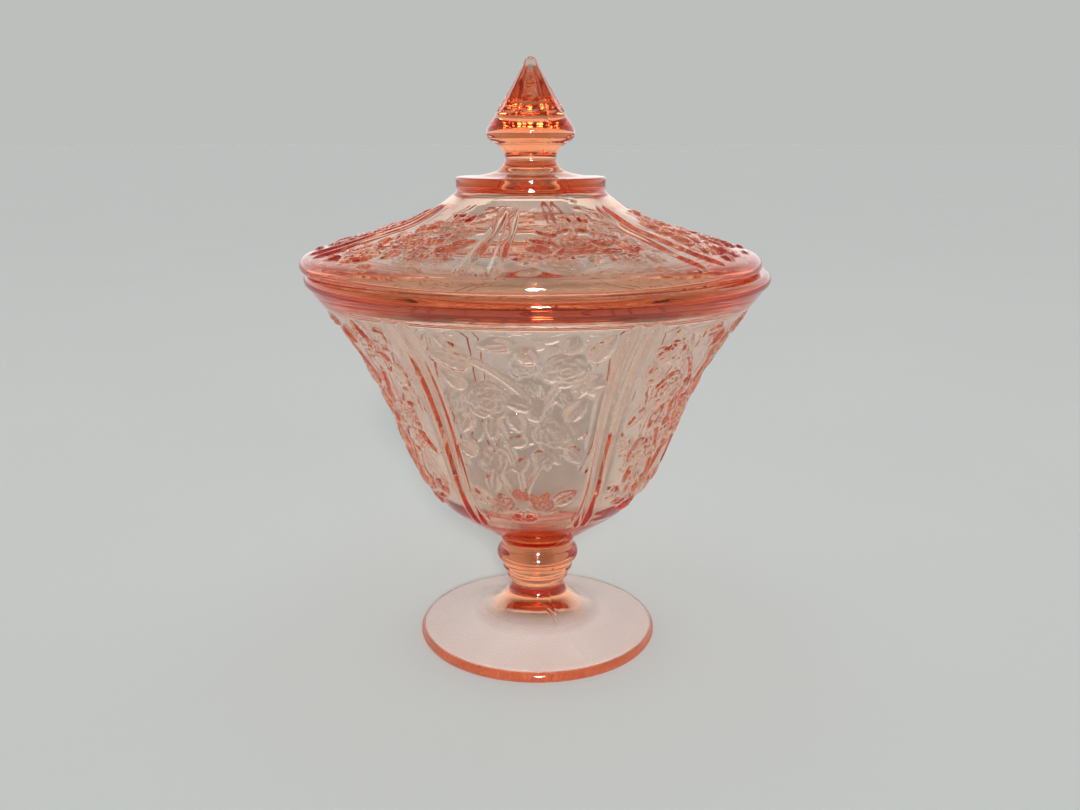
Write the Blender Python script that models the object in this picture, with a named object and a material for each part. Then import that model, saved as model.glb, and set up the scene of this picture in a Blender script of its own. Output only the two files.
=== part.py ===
"""Footed pressed-glass candy jar with a lift-off lid.

The jar and its foot are one pressing, and the lid and its finial are another, so the object has
two glass bodies. Each is a turned shape. Six pairs of raised ribs split the bowl and the lid into
panels, and the finial's cone has ten flats. The jar's axis is +Z and its foot rests on z = 0.
"""

from collections import namedtuple
from math import atan2, cos, pi, radians, sin

import bmesh
import bpy

MM = 0.001

# Heights and radii of the jar, in millimetres.
FOOT_RADIUS = 42.9
FOOT_EDGE = 3.8
FOOT_HOLLOW = 10.0
REST_RING = (39.4, 41.6)
WAIST_RADIUS = 9.6
KNOP_RADIUS = 14.7
KNOP_ROUND = 2.9
NECK_RADIUS = 12.9
RIM_RADIUS = 78.5
RIM_ROUND = 2.3
SEAT_HEIGHT = 134.5
MOUTH_RADIUS = 71.3
LEDGE = (66.6, 131.0)
FLOOR_HEIGHT = 44.2

# Heights and radii of the lid. Its low flange hangs over the mouth's ledge, with room all round.
LID_GAP = 0.3
LID_RADIUS = 77.5
LID_ROUND = 1.7
FLANGE_RADIUS = 67.5
FLANGE_WALL = 1.9
FLANGE_DEPTH = 1.5
FLANGE_ROUND = 0.8
COLLAR_RADIUS = 25.1
COLLAR_HEIGHTS = (159.9, 164.6)
KNOB_NECK = 8.5
KNOB_RADIUS = 14.7
TOP_HEIGHT = 203.0

# How the lid lies on the jar when it has been put back by hand.
LID_SHIFT = -2.2
LID_TURN = 22.5

# Ribs and flats. Rib angles are half-widths of a pair, as seen from the axis.
PANELS = 6
RIB_HEIGHT = 0.9
RIB_VALLEY = 0.25
BOWL_RIB_HALF = 4.7
LID_RIB_HALF = 5.6
BOWL_RIB_SPAN = (51.0, 126.0)
LID_RIB_SPAN = (31.0, 73.0)
RIB_FADE = 5.0
FLATS = 10
FLAT_SPAN = (185.0, 200.0)
WIDEST_COLUMN = 11.0

# A point of a turned outline: its rib is how much of the relief it carries, from 0 to 1.
Point = namedtuple("Point", "r z rib flat", defaults=(0.0, 0.0))


def smooth_line(knots, steps):
    """Points along a Catmull-Rom curve through the knots, both ends included."""
    first = (2 * knots[0][0] - knots[1][0], 2 * knots[0][1] - knots[1][1])
    last = (2 * knots[-1][0] - knots[-2][0], 2 * knots[-1][1] - knots[-2][1])
    padded = [first, *knots, last]
    line = [knots[0]]
    for a, b, c, d in zip(padded, padded[1:], padded[2:], padded[3:]):
        for step in range(1, steps + 1):
            t = step / steps
            line.append(
                tuple(
                    0.5 * (2 * q + (r - p) * t + (2 * p - 5 * q + 4 * r - s) * t**2
                           + (3 * q - p - 3 * r + s) * t**3)
                    for p, q, r, s in zip(a, b, c, d)
                )
            )
    return line


def arc(centre, radius, start, end, steps):
    """Points along a circle's arc, from start to end in degrees, both included."""
    angles = [radians(start + (end - start) * k / steps) for k in range(steps + 1)]
    return [(centre[0] + radius * cos(a), centre[1] + radius * sin(a)) for a in angles]


def fade(value, span, width):
    """1 inside the span, falling to 0 at its ends over the given width."""
    edge = min(value - span[0], span[1] - value) / width
    return max(0.0, min(1.0, edge))


def columns(rib_half, corners=()):
    """Angles of a round piece's columns in degrees: rib edges, rib crests, valleys, any flats'
    corners, and as many between as keep the steps small."""
    fixed = set(corners)
    for panel in range(PANELS):
        for part in (-1, -0.5, 0, 0.5, 1):
            fixed.add((panel * 360 / PANELS + part * rib_half) % 360)
    fixed = sorted(fixed)
    angles = []
    for here, after in zip(fixed, fixed[1:] + [fixed[0] + 360]):
        count = int((after - here) / WIDEST_COLUMN) + 1
        angles += [here + (after - here) * k / count for k in range(count)]
    return angles


def rib_height(angle, rib_half):
    """Height of a rib pair across its width: two crests with a shallow valley between."""
    pitch = 360 / PANELS
    across = abs((angle + pitch / 2) % pitch - pitch / 2) / rib_half
    if across >= 1:
        return 0.0
    if across >= 0.5:
        return RIB_HEIGHT * 2 * (1 - across)
    return RIB_HEIGHT * (RIB_VALLEY + (1 - RIB_VALLEY) * 2 * across)


def flat_factor(angle, first_corner):
    """Radius of a regular polygon with FLATS sides, as a share of its corner radius."""
    side = 360 / FLATS
    from_middle = (angle - first_corner) % side - side / 2
    return cos(pi / FLATS) / cos(radians(from_middle))


def outward(outline, index):
    """Unit normal of the outline at a point, to the right of the way the outline runs."""
    before, after = outline[index - 1], outline[index + 1]
    heading = atan2(after.z - before.z, after.r - before.r)
    return sin(heading), -cos(heading)


def turned_mesh(name, outline, angles, rib_half, first_corner=0.0):
    """A closed body from an outline that starts and ends on the axis and runs anticlockwise."""
    mesh = bmesh.new()
    start = mesh.verts.new((0, 0, outline[0].z * MM))
    end = mesh.verts.new((0, 0, outline[-1].z * MM))
    rings = []
    for index in range(1, len(outline) - 1):
        point = outline[index]
        normal = outward(outline, index)
        ring = []
        for angle in angles:
            height = point.rib * rib_height(angle, rib_half)
            radius = point.r + height * normal[0]
            radius *= 1 - point.flat * (1 - flat_factor(angle, first_corner))
            theta = radians(angle)
            place = (radius * sin(theta), -radius * cos(theta), point.z + height * normal[1])
            ring.append(mesh.verts.new([MM * value for value in place]))
        rings.append(ring)
    count = len(angles)
    for k in range(count):
        after = (k + 1) % count
        mesh.faces.new((start, rings[0][after], rings[0][k]))
        mesh.faces.new((end, rings[-1][k], rings[-1][after]))
        for low, high in zip(rings, rings[1:]):
            mesh.faces.new((low[k], low[after], high[after], high[k]))
    data = bpy.data.meshes.new(name)
    mesh.to_mesh(data)
    mesh.free()
    data.shade_smooth()
    data.set_sharp_from_angle(angle=radians(40))
    return data


def foot_outline():
    """The hollow underside, the flat ring that it rests on and the rounded edge."""
    inner, outer = REST_RING
    under = smooth_line([(0, FOOT_HOLLOW), (13, 7.4), (21, 4.9), (30, 2.5), (38.4, 0.35)], 1)
    edge_round = FOOT_RADIUS - outer
    low_edge = arc((outer, edge_round), edge_round, -90, 0, 2)
    high_edge = [(FOOT_RADIUS, FOOT_EDGE - 1.3), (FOOT_RADIUS - 0.9, FOOT_EDGE)]
    return [*under, (inner, 0), *low_edge, *high_edge]


def stem_outline():
    """From the foot's top up a hollow curve to the waist, over stepped rings and the knop."""
    flare = smooth_line([(36, 4.8), (27.5, 6.8), (19, 10), (12.8, 14.6), (WAIST_RADIUS, 19.6)], 1)
    rings = [(11.0, 22.0), (12.1, 24.6), (12.7, 26.8)]
    knop = arc((KNOP_RADIUS - KNOP_ROUND, 31.0), KNOP_ROUND, -40, 50, 3)
    return [*flare, *rings, *knop, (NECK_RADIUS, 34.6), (NECK_RADIUS + 0.2, 36.6)]


def bowl_outline():
    """Outside of the bowl, its rounded rim, the flat seat, the sunken ledge and the inside."""
    wall = smooth_line(
        [(16.8, 40.2), (24.1, 45), (35.8, 55), (42.8, 66), (48.3, 80), (54, 94), (60.6, 107),
         (67.9, 118), (74.1, 126), (76.8, 129.6)], 2)
    ribbed = [Point(r, z, fade(z, BOWL_RIB_SPAN, RIB_FADE)) for r, z in wall]
    bead = (RIM_RADIUS - RIM_ROUND, SEAT_HEIGHT - RIM_ROUND)
    rim = arc(bead, RIM_ROUND, -45, 90, 4)
    mouth = [(MOUTH_RADIUS + 0.9, SEAT_HEIGHT), (MOUTH_RADIUS, SEAT_HEIGHT - 0.2),
             (69.4, 133.0), LEDGE]
    inside = smooth_line(
        [(66.9, 130.3), (71.4, 128.2), (70.3, 124.9), (65, 118), (57.8, 107), (51.4, 94),
         (45.6, 80), (39.8, 66), (32.7, 55.5), (22.7, 48), (11, 45), (0, FLOOR_HEIGHT)], 1)
    return [*ribbed, *[Point(*p) for p in [*rim, *mouth, *inside]]]


def lid_under_outline():
    """The lid's hollow underside and the low flange, out to the face that rests on the seat."""
    seat = SEAT_HEIGHT + LID_GAP
    inner = FLANGE_RADIUS - FLANGE_WALL
    low = seat - FLANGE_DEPTH
    hollow = [(0, 164.8), (5, 164.5), (7.6, 161.4)]
    dome = smooth_line(
        [(9.5, 161), (19, 160.2), (22.5, 158.4), (27, 154.9), (32, 151.8), (43, 146.6),
         (54, 143.4), (61, 141.4)], 1)
    flange_top = [(inner - 1, 139.4), (inner, 136.8)]
    flange_end = [(inner, low + FLANGE_ROUND), (inner + FLANGE_ROUND, low),
                  (FLANGE_RADIUS - FLANGE_ROUND, low), (FLANGE_RADIUS, low + FLANGE_ROUND),
                  (FLANGE_RADIUS, seat)]
    return [*hollow, *dome, *flange_top, *flange_end]


def lid_top_outline():
    """The lid's rounded edge and the hollow-sided dome up to the collar."""
    seat = SEAT_HEIGHT + LID_GAP
    nose = arc((LID_RADIUS - LID_ROUND, seat + LID_ROUND), LID_ROUND, -90, 0, 3)
    shoulder = [(77.2, 138.2), (75.9, 139.6)]
    dome = smooth_line(
        [(73, 140.5), (63.5, 143), (50.4, 147), (38.8, 151), (31.4, 155), (25.7, 159.2)], 2)
    ribbed = [Point(r, z, fade(r, LID_RIB_SPAN, RIB_FADE)) for r, z in dome]
    return [*[Point(*p) for p in [*nose, *shoulder]], *ribbed]


def finial_outline():
    """The collar, its hollow-sided plate, the waisted neck, the round knob and the cone."""
    low, high = COLLAR_HEIGHTS
    collar = [(COLLAR_RADIUS, low), (COLLAR_RADIUS, high - 0.4), (COLLAR_RADIUS - 0.5, high)]
    plate = smooth_line([(18, 165), (13.2, 165.9), (9.4, 168.2), (KNOB_NECK, 170.4)], 1)
    knob = smooth_line(
        [(9.1, 172.6), (11.6, 175.3), (KNOB_RADIUS, 178.9), (13.4, 182), (11.3, 185),
         (9.6, 188), (5.9, 194.2), (2.5, 200.4)], 1)
    flattened = [Point(r, z, 0.0, float(FLAT_SPAN[0] < z < FLAT_SPAN[1])) for r, z in knob]
    tip = [Point(1.5, 202.3), Point(0, TOP_HEIGHT)]
    return [*[Point(*p) for p in [*collar, *plate]], *flattened, *tip]


def pink_glass(name, depth):
    """Clear pink pressed glass. A thicker body has a deeper colour."""
    material = bpy.data.materials.new(name)
    material.use_nodes = True
    shader = material.node_tree.nodes["Principled BSDF"]
    shader.inputs["Base Color"].default_value = (0.93, 0.62 - depth, 0.52 - depth, 1)
    shader.inputs["Roughness"].default_value = 0.04
    shader.inputs["IOR"].default_value = 1.52
    shader.inputs["Transmission Weight"].default_value = 1.0
    return material


def add_object(name, mesh, material):
    mesh.materials.append(material)
    piece = bpy.data.objects.new(name, mesh)
    bpy.context.scene.collection.objects.link(piece)
    return piece


def footed_bowl():
    outline = [*[Point(*p) for p in [*foot_outline(), *stem_outline()]], *bowl_outline()]
    mesh = turned_mesh("footed_bowl", outline, columns(BOWL_RIB_HALF), BOWL_RIB_HALF)
    bowl = add_object("footed_bowl", mesh, pink_glass("bowl_glass", 0.04))
    bowl.rotation_euler.z = radians(180 / PANELS)
    return bowl


def lid():
    """The lid's origin is on its own axis, at the height of the seat."""
    first_corner = 180 / PANELS
    corners = [(first_corner + k * 360 / FLATS) % 360 for k in range(FLATS)]
    outline = [*[Point(*p) for p in lid_under_outline()], *lid_top_outline(), *finial_outline()]
    lowered = [point._replace(z=point.z - SEAT_HEIGHT) for point in outline]
    mesh = turned_mesh("lid", lowered, columns(LID_RIB_HALF, corners), LID_RIB_HALF, first_corner)
    cover = add_object("lid", mesh, pink_glass("lid_glass", 0.0))
    cover.location = (LID_SHIFT * MM, 0, SEAT_HEIGHT * MM)
    cover.rotation_euler.z = radians(180 / PANELS + LID_TURN)
    return cover


def main():
    for old in list(bpy.data.objects):
        bpy.data.objects.remove(old, do_unlink=True)
    footed_bowl()
    lid()


main()
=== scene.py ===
from math import cos, pi, radians, sin

import bpy
import numpy as np
from mathutils import Matrix, Vector

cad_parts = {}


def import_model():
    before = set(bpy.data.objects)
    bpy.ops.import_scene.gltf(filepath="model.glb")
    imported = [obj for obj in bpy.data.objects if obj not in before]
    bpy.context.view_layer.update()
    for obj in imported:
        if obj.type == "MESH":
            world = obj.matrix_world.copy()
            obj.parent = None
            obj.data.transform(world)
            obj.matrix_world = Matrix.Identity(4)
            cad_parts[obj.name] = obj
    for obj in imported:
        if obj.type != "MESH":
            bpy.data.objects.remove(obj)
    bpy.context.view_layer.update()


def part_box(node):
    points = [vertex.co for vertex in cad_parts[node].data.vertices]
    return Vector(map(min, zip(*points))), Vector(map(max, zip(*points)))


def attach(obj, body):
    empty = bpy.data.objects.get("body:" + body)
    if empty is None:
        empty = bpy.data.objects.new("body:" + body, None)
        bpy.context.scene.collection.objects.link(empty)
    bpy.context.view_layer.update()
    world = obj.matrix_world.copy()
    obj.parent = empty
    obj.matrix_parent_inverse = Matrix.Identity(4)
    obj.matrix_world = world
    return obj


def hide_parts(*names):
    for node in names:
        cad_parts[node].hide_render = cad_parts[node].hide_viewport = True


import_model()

# Lengths are in millimetres until a mesh is made. Angles run from -Y towards +X, in degrees.
MM = 0.001
BOWL_LOW, BOWL_HIGH = [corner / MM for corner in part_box("footed_bowl")]
LID_LOW, LID_HIGH = [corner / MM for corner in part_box("lid")]
RIM_RADIUS = (BOWL_HIGH.x - BOWL_LOW.x) / 2
SEAT_HEIGHT = BOWL_HIGH.z
LID_RADIUS = (LID_HIGH.x - LID_LOW.x) / 2
LID_AXIS_X = (LID_HIGH.x + LID_LOW.x) / 2
TOP_HEIGHT = LID_HIGH.z
LID_SEAT = SEAT_HEIGHT + 0.3
RIM_ROUND = 2.3
LID_ROUND = 1.7
TIP_ROUND = 2.35

# Both pieces have six panels, and the lid rests turned against the bowl. The finial has ten flats.
PANELS = 6
PITCH = 360 / PANELS
LID_TURN = 22.5
FLATS = 10

# The lines that the mould left, two on each piece: their angles, height and half-width in degrees.
BOWL_SEAMS = (30, 210)
LID_SEAMS = (9, 189)
SEAM_HEIGHT = 0.05
SEAM_HALF = 0.45

# The flower relief has fine rings and columns, and everything else has coarse ones.
BOWL_FINE = 600
LID_FINE = 720
COARSE = 120
BOWL_RING = 0.66
LID_RING = 0.53
BOWL_RELIEF_START = 49
LID_RELIEF_REACH = (28, 75)
SHARP_ANGLE = 62

# Relief heights, and how far the flowers and ribs reach: heights on the bowl, radii on the lid.
RELIEF = 1.15
LID_FLOWERS = (33, 73)
BOWL_RIB_HEIGHT = 0.95
BOWL_RIB_CREST = 2.45
BOWL_RIB_HALF = 2.3
BOWL_RIBS = (50.5, 125.8)
LID_RIB_HEIGHT = 0.75
LID_RIB_HALF = 1.7
LID_RIBS = (30, 74.2)
FLAT_START = 185.4
FLAT_SCALLOP = 2.2

# The glass takes up (1 - colour) times the density of the light in each metre.
GLASS_COLOUR = (0.956, 0.46, 0.12, 1)
GLASS_DENSITY = 84
GLASS_IOR = 1.52
PALE_SKIN = (0.99, 0.98, 0.975, 1)
PINK_SKIN = (0.965, 0.935, 0.92, 1)
RIPPLE_DEPTH = 0.06
# Painted shade: the flowers' deeper pink stands in for the darker look of light bent through the lid's
# relief.
FLOWER_PAINTED_SHADE = (0.9, 0.56, 0.4, 1)
# Painted shade: the band and edge tints stand in for the darker look of light held long in the thick
# glass under the rim and in the foot's edge.
BAND_PAINTED_SHADE = (0.72, 0.18, 0.075, 1)
FOOT_EDGE_PAINTED_SHADE = (0.8, 0.22, 0.1, 1)
GRAIN_DEPTH = 0.25
GRAIN_ROUGHNESS = 0.14
GRAIN_CLARITY = 0.5

# Noise cells in a metre.
SKIN_CELLS = 55
POLISH_CELLS = 160
RIPPLE_CELLS = 90
WAVER_CELLS = 120
GRAIN_CELLS = 1500
FLOOR_CELLS = 6

# Where the bowl's painted shade (the band under the rim and the foot's edge) and its grain start and
# end. Each fades between two heights or two radii.
BAND_START_HEIGHT = (127.4, 128.6)
BAND_END_HEIGHT = (131.8, 132.6)
BAND_WAVER = 0.9
EDGE_START_RADIUS = (41.5, 41.9)
EDGE_END_HEIGHT = (5, 6)
GRAIN_START_RADIUS = (14, 24)
GRAIN_END_RADIUS = (41.1, 41.6)
GRAIN_END_HEIGHT = (11, 14)

# Millimetres and degrees. The lens is for a 36 mm sensor.
CAMERA_AZIMUTH = 4.5
CAMERA_DISTANCE = 359.4
CAMERA_HEIGHT = 177.2
CAMERA_ASIDE = 0.9
CAMERA_PITCH = 14.3
CAMERA_LENS = 34.93

# The stage, in metres. It dims from full brightness to a share of it over a reach of depth.
FLOOR_HALF = 30
FLOOR_DROP = -0.0002
FLOOR_COLOUR = (0.555, 0.575, 0.56, 1)
FLOOR_GLOW = (0.98, 1.01, 0.99, 1)
FLOOR_GLOW_STRENGTH = 0.147
FLOOR_DIM = 0.25
FLOOR_DIM_REACH = (0, 0.15)
BACKDROP = (0.522, 0.541, 0.524, 1)
ROOM_LOW = (1.25, 1.25, 1.23, 1)
ROOM_MIDDLE = (1.1, 1.1, 1.08, 1)
ROOM_HIGH = (0.3, 0.3, 0.3, 1)
ROOM_DIM = 0.3
ROOM_DIM_REACH = (-0.5, 0.3)
BLACK = (0, 0, 0, 1)
EXPOSURE = -0.05
BOUNCES = 48

# ------------------------------------------------------------------ outlines


def smooth_line(knots, spacing):
    """Points along a Catmull-Rom curve through the knots, about the given spacing apart."""
    knots = np.array(knots, float)
    padded = np.vstack([2 * knots[0] - knots[1], knots, 2 * knots[-1] - knots[-2]])
    line = [knots[:1]]
    for a, b, c, d in zip(padded, padded[1:], padded[2:], padded[3:]):
        steps = max(1, round(float(np.linalg.norm(c - b)) / spacing))
        t = (np.arange(1, steps + 1) / steps)[:, None]
        line.append(0.5 * (2 * b + (c - a) * t + (2 * a - 5 * b + 4 * c - d) * t**2
                           + (3 * b - a - 3 * c + d) * t**3))
    return np.vstack(line)


def arc(centre, radius, start, end, steps):
    turns = np.radians(np.linspace(start, end, steps + 1))
    return np.column_stack([centre[0] + radius * np.cos(turns), centre[1] + radius * np.sin(turns)])


def reach_of(line):
    """Distance along the line to each of its points."""
    return np.concatenate([[0], np.cumsum(np.hypot(*np.diff(line, axis=0).T))])


def even(line, spacing):
    """The line with its points put evenly along its length."""
    reach = reach_of(line)
    at = np.linspace(0, reach[-1], round(reach[-1] / spacing) + 1)
    return np.column_stack([np.interp(at, reach, line[:, 0]), np.interp(at, reach, line[:, 1])])


def outward(outline):
    """Unit normals on the right of the way the outline runs."""
    ahead = np.gradient(outline, axis=0)
    ahead /= np.linalg.norm(ahead, axis=1)[:, None]
    return np.column_stack([ahead[:, 1], -ahead[:, 0]])


def foot_outline():
    """Hollow underside, flat rest ring, rounded edge, and the top up to the waist."""
    under = smooth_line([(0.6, 10), (7, 9.3), (13, 7.4), (21, 4.9), (30, 2.5), (38.2, 0.35)], 2.5)
    rest = [(39.4, 0), (41.5, 0)]
    edge = smooth_line([(42.3, 0.35), (42.9, 1.5), (42.8, 2.7), (41.9, 3.75)], 0.5)
    top = smooth_line([(40.6, 4.05), (36, 4.75), (28.5, 6.4), (21, 8.9), (15.2, 12), (11.6, 15),
                       (10, 17.3), (9.5, 18.9), (9.6, 20.1)], 1.2)
    return np.vstack([under, rest, edge, top])


def stem_outline():
    """Two rounded steps, the knop and the neck."""
    lower_step = smooth_line([(10.3, 21.1), (11.1, 22.1), (11.3, 23.3), (11.3, 23.7)], 0.5)
    upper_step = smooth_line([(11.9, 24.1), (12.6, 25.4), (12.6, 26.8), (12.75, 27.3)], 0.5)
    knop = smooth_line([(13.5, 28.2), (14.5, 29.7), (14.7, 30.9), (14.4, 32.2), (13.5, 33.6)], 0.5)
    neck = smooth_line([(12.95, 34.5), (12.8, 35.4), (13, 36.2)], 0.5)
    return np.vstack([lower_step, upper_step, knop, neck])


def wall_outline():
    """Outside of the bowl from its bottom to just below the rim, in fine steps."""
    return smooth_line(
        [(13.6, 37), (16.8, 39.8), (24.1, 45), (31, 50), (35.8, 55), (42.8, 66), (48.3, 80),
         (54, 94), (60.6, 107), (67.9, 118), (74.1, 126)], 0.5)


def rim_outline():
    """The rim's bead, the flat seat, the sunken ledge and the inside of the bowl to its floor."""
    bead = (RIM_RADIUS - RIM_ROUND, SEAT_HEIGHT - RIM_ROUND)
    under_bead = smooth_line([(74.9, 127), (76.3, 128.9), (77.1, 130)], 0.8)
    rounding = arc(bead, RIM_ROUND, -38, 88, 12)
    ledge = smooth_line([(72.2, SEAT_HEIGHT), (71.3, SEAT_HEIGHT - 0.2), (69.4, 133),
                         (67.4, 131.7), (66.6, 131)], 0.8)
    inside = smooth_line(
        [(66.9, 130.3), (71.4, 128.2), (71.7, 127.2), (70.3, 124.9), (65, 118), (57.8, 107),
         (51.4, 94), (45.6, 80), (39.8, 66), (32.7, 55.5), (22.7, 48), (11, 45), (0.6, 44.2)], 3)
    return np.vstack([under_bead, rounding, ledge, inside])


def lid_under_outline():
    """The lid's hollow underside, the flange that hangs in the mouth, and the rounded edge."""
    hollow = smooth_line([(0.6, 164.8), (4.6, 164.6), (6.6, 163.2), (7.6, 161.6)], 0.8)
    dome = smooth_line([(9.5, 161), (14, 160.8), (19, 160.2), (22.5, 158.4), (27, 154.9), (32, 151.8),
                        (43, 146.6), (54, 143.4), (61, 141.4), (64.6, 139.4), (65.6, 136.8)], 3)
    flange = np.vstack([arc((66.4, 134.1), 0.8, 180, 270, 4), arc((66.7, 134.1), 0.8, -90, 0, 4)])
    seat = [(67.6, LID_SEAT - 0.25), (67.9, LID_SEAT), (71, LID_SEAT)]
    nose = arc((LID_RADIUS - LID_ROUND, LID_SEAT + LID_ROUND), LID_ROUND, -90, 0, 8)
    return np.vstack([hollow, dome, flange, seat, nose])


def dome_outline():
    """The lid's round shoulder and hollow-sided top, up to the collar."""
    return smooth_line(
        [(77.3, 138), (76.1, 139.4), (73.2, 140.5), (63.5, 143), (50.4, 147), (43.6, 149),
         (38.8, 151), (31.4, 155), (25.6, 159.4)], 0.55)


def finial_outline():
    """The collar, its hollow-sided plate, the neck, the round knob and the cone."""
    collar = np.vstack([[(25.1, 159.9), (25.15, 162)], arc((24.5, 164), 0.65, 0, 80, 4)])
    plate = smooth_line([(22.5, 164.7), (18, 165), (13.2, 165.9), (10.6, 167), (9.2, 168.5),
                         (8.5, 170.4), (8.7, 171.8), (9.2, 172.7), (10.3, 174.2), (11.8, 175.4),
                         (13.4, 176.3), (14.4, 177.4), (14.7, 178.9), (14.3, 180.5), (13.3, 182.1),
                         (11.8, 184.2)], 0.6)
    cone = smooth_line([(11.7, 184.9), (9.9, 188), (6.1, 194.2), (3.3, 198.9), (2.55, 200.2)], 0.45)
    tip = arc((0, TOP_HEIGHT - TIP_ROUND), TIP_ROUND, 12, 84, 7)
    return np.vstack([collar, plate, cone, tip])


# -------------------------------------------------------------------- relief


def soft_step(value, width):
    """0 below zero and 1 above it, over the given width."""
    t = np.clip(value / width + 0.5, 0, 1)
    return t * t * (3 - 2 * t)


def cushion(u, v, long, wide):
    """A rounded cushion, 1 high in its middle."""
    return np.sqrt(np.clip(1 - (u / wide) ** 2 - (v / long) ** 2, 0, 1))


def rose(u, v, size):
    """An open rose seen from above: three rings of cupped petals round a rolled heart."""
    rho = np.hypot(u, v) / size
    phi = np.arctan2(v, u)
    height = np.zeros_like(u)
    for turn, reach, petals, base in ((0.3, 1.0, 5, 0.2), (1.1, 0.73, 5, 0.42), (0.2, 0.46, 3, 0.62)):
        wave = np.abs(np.cos(petals / 2 * (phi + turn)))
        depth = reach * (0.82 + 0.18 * np.sqrt(wave)) - rho
        cup = 0.46 * np.clip(1 - depth / 0.26, 0, 1)
        crease = 0.3 * np.exp(-((wave / 0.2) ** 2))
        height = np.maximum(height, soft_step(depth, 0.1) * (base + cup - crease))
    heart = 1.05 * cushion(u - 0.04 * size, v, 0.2 * size, 0.15 * size)
    return np.maximum(height, heart)


def leaf(u, v, size):
    """A pointed leaf with a notched edge, a groove along its middle and side veins."""
    t = np.clip(v / size, 0, 1)
    notches = 1 + 0.22 * np.abs(np.sin(4.5 * pi * t))
    half = np.maximum(0.72 * size * np.sqrt(t) * (1 - t) * notches, 0.02)
    side = np.clip(np.abs(u) / half, 0, 1)
    groove = 0.38 * np.exp(-((u / 0.4) ** 2))
    veins = 0.1 * np.cos(2 * pi * (4.5 * t - 1.2 * side))
    body = (0.85 + veins) * (1 - side**2) ** 0.6 - groove
    return np.maximum(body, 0) * (1 - t**4) * ((v > 0) & (v < size))


def star_leaf(u, v, size):
    """A spray of five narrow leaves from one point."""
    height = np.zeros_like(u)
    for turn, share in ((-72, 0.72), (-38, 0.9), (0, 1), (38, 0.9), (72, 0.72)):
        tilt = radians(turn)
        across = u * cos(tilt) - v * sin(tilt)
        up = u * sin(tilt) + v * cos(tilt)
        height = np.maximum(height, leaf(across * 1.25, up, size * share))
    return height


def bud(u, v, size):
    """A closed bud of two folded petals, in a calyx."""
    left = 0.85 * cushion(u + 0.13 * size, v - 0.52 * size, 0.46 * size, 0.2 * size)
    right = cushion(u - 0.1 * size, v - 0.5 * size, 0.48 * size, 0.24 * size)
    return np.maximum(np.maximum(left, right), 0.8 * leaf(u * 0.8, v, size * 0.6))


def stem(u, v, size):
    """One bead of a stem, which is drawn as a row of them."""
    return 0.6 * cushion(u, v, size, size)


SHAPES = {"rose": rose, "leaf": leaf, "star": star_leaf, "bud": bud, "stem": stem}

# Each flower or leaf of one panel: shape, angle from the panel's middle, place along the outline
# (a height on the bowl, a radius on the lid), size and turn clockwise from pointing up.
BOWL_SPRAY = (
    ("rose", 12.3, 112, 6.6, 0), ("rose", -10.5, 101, 7.0, 40), ("rose", 10.7, 89.5, 6.6, 20),
    ("rose", -11.5, 79, 5.6, 75), ("bud", 3.2, 114, 7.5, -25), ("leaf", -2, 121, 9.5, -100),
    ("leaf", 13, 117.5, 8.5, -4), ("leaf", 18.5, 115, 11.5, 28), ("leaf", -13.5, 113, 13, -68),
    ("leaf", -16, 118.5, 8, -38), ("star", 18, 108, 8, 150), ("leaf", 14.5, 94.5, 9.5, 30),
    ("leaf", 2.5, 99, 9.5, -66), ("leaf", 3.5, 94.5, 9, 12), ("leaf", -17, 105, 9, -40),
    ("leaf", -9.5, 94.5, 9, 190), ("leaf", -3.5, 97, 9, 158), ("leaf", -17.5, 95.5, 9, 212),
    ("star", 8, 83.5, 8.5, 176), ("leaf", 15.5, 84.5, 9, 142), ("leaf", 1, 88, 8.5, 250),
    ("leaf", -18.5, 81, 8, -52), ("leaf", -12.5, 74.5, 9, 190), ("leaf", -4, 76, 8, 38),
    ("star", -9, 60, 9, -14), ("star", 5.5, 60.5, 9, 18), ("bud", -1.8, 61, 9, 0),
    ("star", -2, 55.5, 6.5, 0), ("leaf", -17, 63, 9, -52), ("leaf", 12.5, 63.5, 9, 55),
)
BOWL_STEMS = (
    ((-14, 116), (-7, 111), (0, 104), (4, 98), (6, 92)),
    ((11, 108), (8, 102), (5, 96)),
    ((-9, 96), (-6, 88), (-3, 79), (-1, 68), (-2, 58)),
    ((8, 84), (5, 77), (1, 70), (-1, 64)),
    ((-11, 76), (-8, 70), (-4, 64)),
)
LID_SPRAY = (
    ("rose", -10, 65.2, 6.6, 10), ("rose", 10, 63.5, 6.2, 50), ("rose", -2.5, 51, 6.8, 30),
    ("bud", 0, 70.5, 10, 180), ("star", -15.5, 62, 8.5, -78), ("leaf", -16, 69, 8, -130),
    ("bud", -12, 56.5, 7.5, -50), ("leaf", -10, 50, 9, -62), ("leaf", -8, 44.5, 8, -48),
    ("leaf", -9.5, 72.5, 6, 172), ("leaf", 3.5, 72.5, 6.5, 158), ("star", 15, 63, 8, 80),
    ("leaf", 13, 57.5, 10, 52), ("leaf", 5, 57, 8.5, 100), ("leaf", 4.5, 51.5, 9, 62),
    ("leaf", 1, 59.5, 7.5, 200), ("leaf", -6, 59, 7, 215), ("star", 3, 41.5, 7, 12),
    ("star", 11, 46, 8, 34), ("leaf", 16.5, 53, 8, 45), ("star", -4.5, 41.5, 6, -30),
    ("star", 0.5, 34, 5, 0), ("leaf", 13, 71, 7, 128), ("leaf", 8, 37, 6, 20),
)
LID_STEMS = (
    ((-3, 46), (0, 42), (2.5, 38), (1, 33)),
    ((4, 50), (8, 46), (12, 42)),
    ((8, 60), (5, 56), (1, 52)),
    ((-12, 61), (-9, 56), (-6, 52)),
    ((16, 58), (13, 52), (12, 46)),
)


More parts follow.
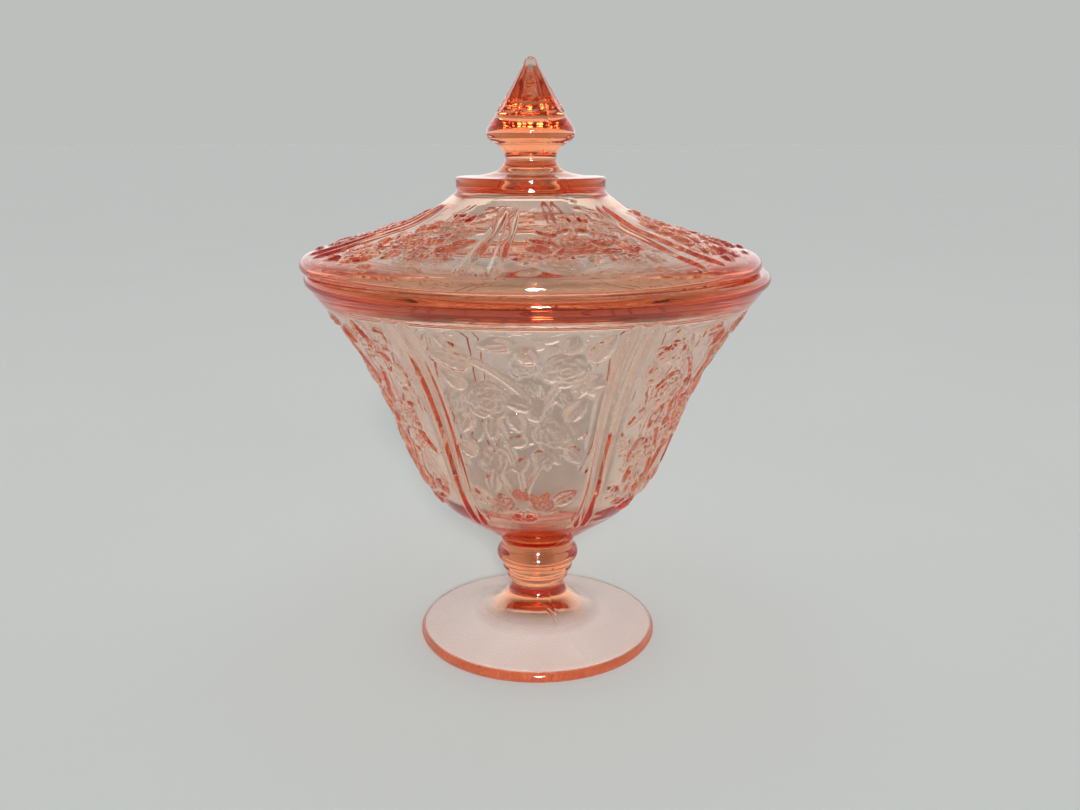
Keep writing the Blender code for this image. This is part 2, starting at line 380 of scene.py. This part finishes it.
def place_shape(shape, angle, spot, size, turn, theta, radius, reach):
    """Height of one shape over the panel's grid of angles and places along the outline."""
    across = np.radians(theta - angle) * radius
    up = reach - spot
    tilt = radians(turn)
    near = np.hypot(across, up) < 1.5 * size
    height = np.zeros_like(across)
    u = across * cos(tilt) - up * sin(tilt)
    v = across * sin(tilt) + up * cos(tilt)
    height[near] = SHAPES[shape](u[near], v[near], size)
    return height


def panel_relief(spray, stems, theta, radius, reach, spot_of):
    """Heights of the flowers in one panel, over a grid of rings by columns."""
    height = np.zeros((len(radius), len(theta)))
    grid = np.broadcast_arrays(theta[None, :], radius[:, None], reach[:, None])
    for path in stems:
        for angle, level in smooth_line([(a, spot_of(b)) for a, b in path], 0.8):
            height = np.maximum(height, place_shape("stem", angle, level, 0.8, 0, *grid))
    for shape, angle, level, size, turn in spray:
        height = np.maximum(height, place_shape(shape, angle, spot_of(level), size, turn, *grid))
    return height


def rib_relief(theta, crest, half, height):
    """A pair of rounded ribs, each ring with its own crest angle, half-width and height."""
    from_middle = np.abs(np.abs(theta)[None, :] - PITCH / 2)
    side = (from_middle - crest) / np.maximum(half, 1e-3)[:, None]
    return height[:, None] * np.sqrt(np.clip(1 - side**2, 0, 1))


def end_fade(value, low, high, width):
    """1 between low and high, closing like an ellipse over the given width inside each end."""
    depth = np.clip(np.minimum(value - low, high - value) / width, 0, 1)
    return np.sqrt(1 - (1 - depth) ** 2)


def bowl_relief(outline):
    """Heights of the flowers and ribs of all the panels, over rings by columns."""
    radius, level = outline.T
    reach = reach_of(outline)
    theta = np.arange(BOWL_FINE // PANELS) * PITCH / (BOWL_FINE // PANELS) - PITCH / 2
    flowers = panel_relief(BOWL_SPRAY, BOWL_STEMS, theta, radius, reach,
                           lambda z: np.interp(z, level, reach))
    shut = end_fade(level, *BOWL_RIBS, 7)
    ribs = rib_relief(theta, BOWL_RIB_CREST, BOWL_RIB_HALF * shut, BOWL_RIB_HEIGHT * shut)
    return np.tile(np.maximum(RELIEF * flowers, ribs), PANELS)


def lid_relief(outline):
    """Heights of all the relief, and of the flowers alone."""
    radius = outline[:, 0]
    reach = reach_of(outline)
    theta = np.arange(LID_FINE // PANELS) * PITCH / (LID_FINE // PANELS) - PITCH / 2
    flowers = panel_relief(LID_SPRAY, LID_STEMS, theta, radius, reach,
                           lambda r: np.interp(-r, -radius, reach))
    flowers *= end_fade(radius, *LID_FLOWERS, 4)[:, None]
    shut = end_fade(radius, *LID_RIBS, 6)
    crest = 3.1 + 0.9 * (radius - 29) / 45
    half = np.minimum(np.degrees(LID_RIB_HALF / radius), crest)
    ribs = rib_relief(theta, crest[:, None], half * shut, LID_RIB_HEIGHT * shut)
    return np.tile(np.maximum(RELIEF * flowers, ribs), PANELS), np.tile(flowers, PANELS)


def flat_relief(outline, angles):
    """How far the finial's flats are cut below its round cone, each from a scalloped lower edge."""
    radius, level = outline.T
    side = 360 / FLATS
    off = (angles % side - side / 2)[None, :]
    share = 1 - cos(pi / FLATS) / np.cos(np.radians(off))
    start = FLAT_START + FLAT_SCALLOP * (np.abs(off) / (side / 2)) ** 2
    return -radius[:, None] * share * soft_step(level[:, None] - start, 0.8)


# -------------------------------------------------------------------- meshes


def coarse_angles(seams):
    """Even columns, with a seam's neighbours drawn close to it so that it can be a thin line."""
    angles = np.arange(COARSE) * 360 / COARSE
    for seam in seams:
        middle = round(seam * COARSE / 360)
        angles[(middle - 1) % COARSE] = (seam - SEAM_HALF) % 360
        angles[(middle + 1) % COARSE] = (seam + SEAM_HALF) % 360
    return angles


def seam_relief(rings, seams):
    """Heights of the thin lines that the mould left."""
    height = np.zeros((rings, COARSE))
    for seam in seams:
        height[:, round(seam * COARSE / 360)] = SEAM_HEIGHT
    return height


def band(low, high):
    """Faces between two rings of vertices, of equal count or one a multiple of the other."""
    if len(low) == len(high):
        return np.column_stack([low, np.roll(low, -1), np.roll(high, -1), high]).tolist()
    low_is_coarse = len(low) < len(high)
    coarse, fine = (low, high) if low_is_coarse else (high, low)
    share = len(fine) // len(coarse)
    faces = []
    for k, here in enumerate(coarse):
        after = coarse[(k + 1) % len(coarse)]
        run = [fine[(k * share + j) % len(fine)] for j in range(share + 1)]
        middle = share // 2
        fan = [(here if j < middle else after, run[j + 1], run[j]) for j in range(share)]
        fan.append((here, after, run[middle]))
        faces += fan if low_is_coarse else [face[::-1] for face in fan]
    return [[int(v) for v in face] for face in faces]


def turned_piece(name, sections, turn=0):
    """A closed turned body. Each section is (outline, angles, heights along the normal)."""
    outline = np.vstack([section[0] for section in sections])
    normal = outward(outline)
    vertices = [[(0, 0, outline[0, 1])]]
    rings, first, row = [], 1, 0
    for points, angles, heights in sections:
        across = np.radians(angles + turn)
        here = normal[row:row + len(points)]
        radius = points[:, :1] + heights * here[:, :1]
        level = points[:, 1:] + heights * here[:, 1:]
        grid = np.stack([radius * np.sin(across), -radius * np.cos(across), level], axis=2)
        vertices.append(grid.reshape(-1, 3))
        count = len(angles)
        rings += [first + k * count + np.arange(count) for k in range(len(points))]
        first += len(points) * count
        row += len(points)
    vertices.append([(0, 0, outline[-1, 1])])
    faces = [(0, int(b), int(a)) for a, b in zip(rings[0], np.roll(rings[0], -1))]
    for low, high in zip(rings, rings[1:]):
        faces += band(low, high)
    faces += [(first, int(a), int(b)) for a, b in zip(rings[-1], np.roll(rings[-1], -1))]
    mesh = bpy.data.meshes.new(name)
    mesh.from_pydata((np.vstack(vertices) * MM).tolist(), [], faces)
    mesh.shade_smooth()
    mesh.set_sharp_from_angle(angle=radians(SHARP_ANGLE))
    piece = bpy.data.objects.new(name, mesh)
    bpy.context.scene.collection.objects.link(piece)
    return piece


def footed_bowl():
    """Foot, stem and bowl in one piece, with the flowers and ribs on the bowl's wall."""
    wall = even(wall_outline(), BOWL_RING)
    ribbed = wall[wall[:, 1] >= BOWL_RELIEF_START]
    plain = wall[wall[:, 1] < BOWL_RELIEF_START]
    base = np.vstack([foot_outline(), stem_outline(), plain[::2]])
    rim = rim_outline()
    coarse = coarse_angles(BOWL_SEAMS)
    seams = seam_relief(len(base), BOWL_SEAMS)
    fine = np.arange(BOWL_FINE) * 360 / BOWL_FINE
    turned = np.roll(bowl_relief(ribbed), -BOWL_FINE // PANELS // 2, axis=1)
    return turned_piece("glass_footed_bowl", [
        (base, coarse, seams),
        (ribbed, fine, turned),
        (rim, coarse, np.zeros((len(rim), COARSE))),
    ])


def lid():
    """The lid in one piece. Its mesh is marked with where the flowers stand, which the lid's glass
    uses for painted shade.
    """
    dome = even(dome_outline(), LID_RING)
    inner = dome[:, 0] < LID_RELIEF_REACH[0]
    outer = dome[:, 0] > LID_RELIEF_REACH[1]
    below = np.vstack([lid_under_outline(), dome[outer]])
    flowered = dome[~outer & ~inner]
    above = np.vstack([dome[inner][::2], finial_outline()])
    coarse = coarse_angles(LID_SEAMS)
    heights = flat_relief(above, coarse) + seam_relief(len(above), LID_SEAMS)
    fine = np.arange(LID_FINE) * 360 / LID_FINE
    relief, flowers = [np.roll(part, -LID_FINE // PANELS // 2, axis=1)
                       for part in lid_relief(flowered)]
    cover = turned_piece("glass_lid", [
        (below, coarse, np.zeros((len(below), COARSE))),
        (flowered, fine, relief),
        (above, coarse, heights),
    ], turn=LID_TURN)
    cover.data.transform(Matrix.Translation((LID_AXIS_X * MM, 0, 0)))
    plain_below = np.zeros(1 + len(below) * COARSE)
    plain_above = np.zeros(len(above) * COARSE + 1)
    marks = cover.data.attributes.new("flowers", "FLOAT", "POINT")
    marks.data.foreach_set("value", np.concatenate([plain_below, flowers.ravel(), plain_above]))
    return cover


# ----------------------------------------------------------------- materials


def fill(tree, socket, value):
    """Links a socket to an input, or sets the input to a plain value."""
    if isinstance(value, bpy.types.NodeSocket):
        tree.links.new(value, socket)
    else:
        socket.default_value = value


def calc(tree, operation, *values):
    """One step of arithmetic."""
    node = tree.nodes.new("ShaderNodeMath")
    node.operation = operation
    for socket, value in zip(node.inputs, values):
        fill(tree, socket, value)
    return node.outputs["Value"]


def ranged(tree, value, old, new):
    """The value mapped from one range to another, and held inside it."""
    ramp = tree.nodes.new("ShaderNodeMapRange")
    for name, number in zip(("From Min", "From Max", "To Min", "To Max"), (*old, *new)):
        ramp.inputs[name].default_value = number
    tree.links.new(value, ramp.inputs["Value"])
    return ramp.outputs["Result"]


def blend(tree, factor, low, high):
    """A colour between two colours."""
    mix = tree.nodes.new("ShaderNodeMix")
    mix.data_type = "RGBA"
    for name, value in (("Factor", factor), ("A", low), ("B", high)):
        fill(tree, mix.inputs[name], value)
    return mix.outputs["Result"]


def separate(tree, vector):
    """The three parts of a vector, by index or by name."""
    parts = tree.nodes.new("ShaderNodeSeparateXYZ")
    tree.links.new(vector, parts.inputs["Vector"])
    return parts.outputs


def noise(tree, scale, detail):
    """Noise in the object's own space, with so many cells in a metre."""
    place = tree.nodes.new("ShaderNodeTexCoord")
    texture = tree.nodes.new("ShaderNodeTexNoise")
    texture.inputs["Scale"].default_value = scale
    texture.inputs["Detail"].default_value = detail
    tree.links.new(place.outputs["Object"], texture.inputs["Vector"])
    return texture.outputs["Fac"]


def bumped(tree, height, depth, under=None):
    """A normal from a height between 0 and 1, so many millimetres deep, on top of an earlier one."""
    bump = tree.nodes.new("ShaderNodeBump")
    bump.inputs["Strength"].default_value = 1
    bump.inputs["Distance"].default_value = depth * MM
    tree.links.new(height, bump.inputs["Height"])
    if under:
        tree.links.new(under, bump.inputs["Normal"])
    return bump.outputs["Normal"]


def where(tree):
    """Distance from the jar's axis and height over the table, in millimetres."""
    place = tree.nodes.new("ShaderNodeTexCoord")
    x, y, z = separate(tree, place.outputs["Object"])
    squares = [calc(tree, "MULTIPLY", side, side) for side in (x, y)]
    distance = calc(tree, "SQRT", calc(tree, "ADD", *squares))
    return [calc(tree, "DIVIDE", length, MM) for length in (distance, z)]


def mask(tree, starts, ends):
    """1 past each start and before each end. Each is (value, fade), and fades over that range."""
    share = 1
    for value, fade in starts:
        share = calc(tree, "MULTIPLY", share, ranged(tree, value, fade, (0, 1)))
    for value, fade in ends:
        share = calc(tree, "MULTIPLY", share, ranged(tree, value, fade, (1, 0)))
    return share


def pink_glass(name):
    """Clear pink pressed glass: its colour is in its depth, and its skin ripples a little."""
    material = bpy.data.materials.new(name)
    material.use_nodes = True
    tree = material.node_tree
    shader = tree.nodes["Principled BSDF"]
    shader.inputs["Transmission Weight"].default_value = 1
    shader.inputs["IOR"].default_value = GLASS_IOR
    body = tree.nodes.new("ShaderNodeVolumeAbsorption")
    body.inputs["Color"].default_value = GLASS_COLOUR
    body.inputs["Density"].default_value = GLASS_DENSITY
    tree.links.new(body.outputs["Volume"], tree.nodes["Material Output"].inputs["Volume"])
    mottle = ranged(tree, noise(tree, SKIN_CELLS, 2), (0.35, 0.65), (0, 1))
    skin = blend(tree, mottle, PALE_SKIN, PINK_SKIN)
    polish = ranged(tree, noise(tree, POLISH_CELLS, 2), (0.3, 0.7), (0, 0.035))
    ripple = bumped(tree, noise(tree, RIPPLE_CELLS, 1), RIPPLE_DEPTH)
    return material, shader, skin, polish, ripple


def lid_glass():
    """The flowers get painted shade: a deeper pink than the lid between them, standing in for the
    darker look of light bent through the relief.
    """
    material, shader, skin, polish, ripple = pink_glass("pink_glass_lid")
    tree = material.node_tree
    flowers = tree.nodes.new("ShaderNodeAttribute")
    flowers.attribute_name = "flowers"
    # Painted shade: the flowers take a deeper pink, standing in for the darker look of light bent
    # through the relief.
    flower_shade = ranged(tree, flowers.outputs["Fac"], (0.3, 0.7), (0, 1))
    tree.links.new(blend(tree, flower_shade, skin, FLOWER_PAINTED_SHADE), shader.inputs["Base Color"])
    tree.links.new(polish, shader.inputs["Roughness"])
    tree.links.new(ripple, shader.inputs["Normal"])
    return material


def bowl_glass():
    """Painted shade in deeper pinks, in a band under the rim and round the foot's edge, where light
    held long in thick glass looks darker; and a fine grain on the foot's top.
    """
    material, shader, skin, polish, ripple = pink_glass("pink_glass_bowl")
    tree = material.node_tree
    distance, height = where(tree)
    waver = ranged(tree, noise(tree, WAVER_CELLS, 2), (0.3, 0.7), (-BAND_WAVER, BAND_WAVER))
    ragged = calc(tree, "ADD", height, waver)
    # Painted shade: a ragged band under the rim and the foot's edge take deeper pinks, for the darker
    # look of light held long in thick glass.
    band_shade = mask(tree, [(ragged, BAND_START_HEIGHT)], [(height, BAND_END_HEIGHT)])
    edge = mask(tree, [(distance, EDGE_START_RADIUS)], [(height, EDGE_END_HEIGHT)])
    colour = blend(tree, band_shade, blend(tree, edge, skin, FOOT_EDGE_PAINTED_SHADE), BAND_PAINTED_SHADE)
    facing = tree.nodes.new("ShaderNodeNewGeometry")
    up = calc(tree, "GREATER_THAN", separate(tree, facing.outputs["True Normal"])["Z"], 0.3)
    top = mask(tree, [(distance, GRAIN_START_RADIUS)],
               [(distance, GRAIN_END_RADIUS), (height, GRAIN_END_HEIGHT)])
    top = calc(tree, "MULTIPLY", top, up)
    grain = bumped(tree, calc(tree, "MULTIPLY", noise(tree, GRAIN_CELLS, 2), top), GRAIN_DEPTH, ripple)
    rough = calc(tree, "ADD", polish, calc(tree, "MULTIPLY", top, GRAIN_ROUGHNESS))
    clear = ranged(tree, top, (0, 1), (1, GRAIN_CLARITY))
    tree.links.new(colour, shader.inputs["Base Color"])
    tree.links.new(rough, shader.inputs["Roughness"])
    tree.links.new(clear, shader.inputs["Transmission Weight"])
    tree.links.new(grain, shader.inputs["Normal"])
    return material


# --------------------------------------------------------------------- stage


def behind_lens(tree, coordinates, reach, dimmest):
    """1 ahead of the lens, falling to the dimmest share behind it, where only the glass looks."""
    ahead = separate(tree, coordinates)["Z"]
    return ranged(tree, ahead, reach, (dimmest, 1))


def floor():
    """A plain pale floor, dim behind the lens so that the glass doesn't mirror it too brightly."""
    mesh = bpy.data.meshes.new("floor")
    corners = [(x * FLOOR_HALF, y * FLOOR_HALF, 0) for x, y in ((-1, -1), (1, -1), (1, 1), (-1, 1))]
    mesh.from_pydata(corners, [], [(0, 1, 2, 3)])
    ground = bpy.data.objects.new("floor", mesh)
    ground.location.z = FLOOR_DROP
    bpy.context.scene.collection.objects.link(ground)
    material = bpy.data.materials.new("pale_floor")
    material.use_nodes = True
    tree = material.node_tree
    shader = tree.nodes["Principled BSDF"]
    place = tree.nodes.new("ShaderNodeTexCoord")
    share = behind_lens(tree, place.outputs["Camera"], FLOOR_DIM_REACH, FLOOR_DIM)
    mottle = ranged(tree, noise(tree, FLOOR_CELLS, 3), (0.3, 0.7), (0.985, 1))
    share = calc(tree, "MULTIPLY", share, mottle)
    glow = calc(tree, "MULTIPLY", share, FLOOR_GLOW_STRENGTH)
    tree.links.new(blend(tree, share, BLACK, FLOOR_COLOUR), shader.inputs["Base Color"])
    tree.links.new(glow, shader.inputs["Emission Strength"])
    shader.inputs["Emission Color"].default_value = FLOOR_GLOW
    shader.inputs["Roughness"].default_value = 0.9
    shader.inputs["Specular IOR Level"].default_value = 0
    mesh.materials.append(material)


def world():
    """A white studio: the lens sees a plain pale backdrop, and the glass sees it darken overhead."""
    sky = bpy.data.worlds.new("studio")
    bpy.context.scene.world = sky
    sky.use_nodes = True
    tree = sky.node_tree
    place = tree.nodes.new("ShaderNodeTexCoord").outputs["Generated"]
    shade = tree.nodes.new("ShaderNodeValToRGB")
    ramp = shade.color_ramp.elements
    ramp[0].color = ROOM_LOW
    ramp[1].color = ROOM_HIGH
    ramp[1].position = 0.62
    ramp.new(0.3).color = ROOM_MIDDLE
    tree.links.new(separate(tree, place)["Z"], shade.inputs["Fac"])
    turn = tree.nodes.new("ShaderNodeVectorTransform")
    turn.vector_type = "VECTOR"
    turn.convert_from = "WORLD"
    turn.convert_to = "CAMERA"
    tree.links.new(place, turn.inputs["Vector"])
    share = behind_lens(tree, turn.outputs["Vector"], ROOM_DIM_REACH, ROOM_DIM)
    studio = blend(tree, share, BLACK, shade.outputs["Color"])
    path = tree.nodes.new("ShaderNodeLightPath")
    seen = blend(tree, path.outputs["Is Camera Ray"], studio, BACKDROP)
    tree.links.new(seen, tree.nodes["Background"].inputs["Color"])


def camera():
    """The eye stands a little to one side of the jar's axis and looks down at it."""
    data = bpy.data.cameras.new("camera")
    data.lens = CAMERA_LENS
    data.sensor_width = 36
    data.clip_start = 0.01
    eye = bpy.data.objects.new("camera", data)
    bpy.context.scene.collection.objects.link(eye)
    a = radians(CAMERA_AZIMUTH)
    eye.location = Vector((CAMERA_DISTANCE * sin(a) + CAMERA_ASIDE * cos(a),
                           -CAMERA_DISTANCE * cos(a) + CAMERA_ASIDE * sin(a), CAMERA_HEIGHT)) * MM
    eye.rotation_euler = (radians(90 - CAMERA_PITCH), 0, a)
    bpy.context.scene.camera = eye


def lamp(name, kind, place, target, power):
    """A lamp at a place, turned to a target."""
    data = bpy.data.lights.new(name, kind)
    data.energy = power
    source = bpy.data.objects.new(name, data)
    bpy.context.scene.collection.objects.link(source)
    source.location = place
    source.rotation_euler = (Vector(target) - Vector(place)).to_track_quat("-Z", "Y").to_euler()
    return source


def disk_lamp(name, place, target, power, size):
    """A round panel of light."""
    source = lamp(name, "AREA", place, target, power)
    source.data.shape = "DISK"
    source.data.size = size
    return source


def lights():
    """A wide panel overhead, a soft key beside the lens, and a small flash that only makes glints.

    Their places are in metres.
    """
    disk_lamp("overhead", (0, 0, 1.1), (0, 0, 0), power=1.2, size=0.9)
    key = lamp("key", "SUN", (0.15, -1.25, 0.6), (0, 0, 0.1), power=3.4)
    key.data.angle = radians(10)
    flash = disk_lamp("flash", (0.032, -0.36, 0.215), (0, 0, 0.12), power=1.2, size=0.035)
    flash.visible_diffuse = False


bowl = footed_bowl()
bowl.data.materials.append(bowl_glass())
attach(bowl, "jar")
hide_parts("footed_bowl")

cover = lid()
cover.data.materials.append(lid_glass())
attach(cover, "lid")
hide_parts("lid")

floor()
world()
lights()
camera()

scene = bpy.context.scene
scene.view_settings.view_transform = "Standard"
scene.view_settings.exposure = EXPOSURE
scene.cycles.max_bounces = BOUNCES
scene.cycles.transmission_bounces = BOUNCES
scene.cycles.glossy_bounces = BOUNCES
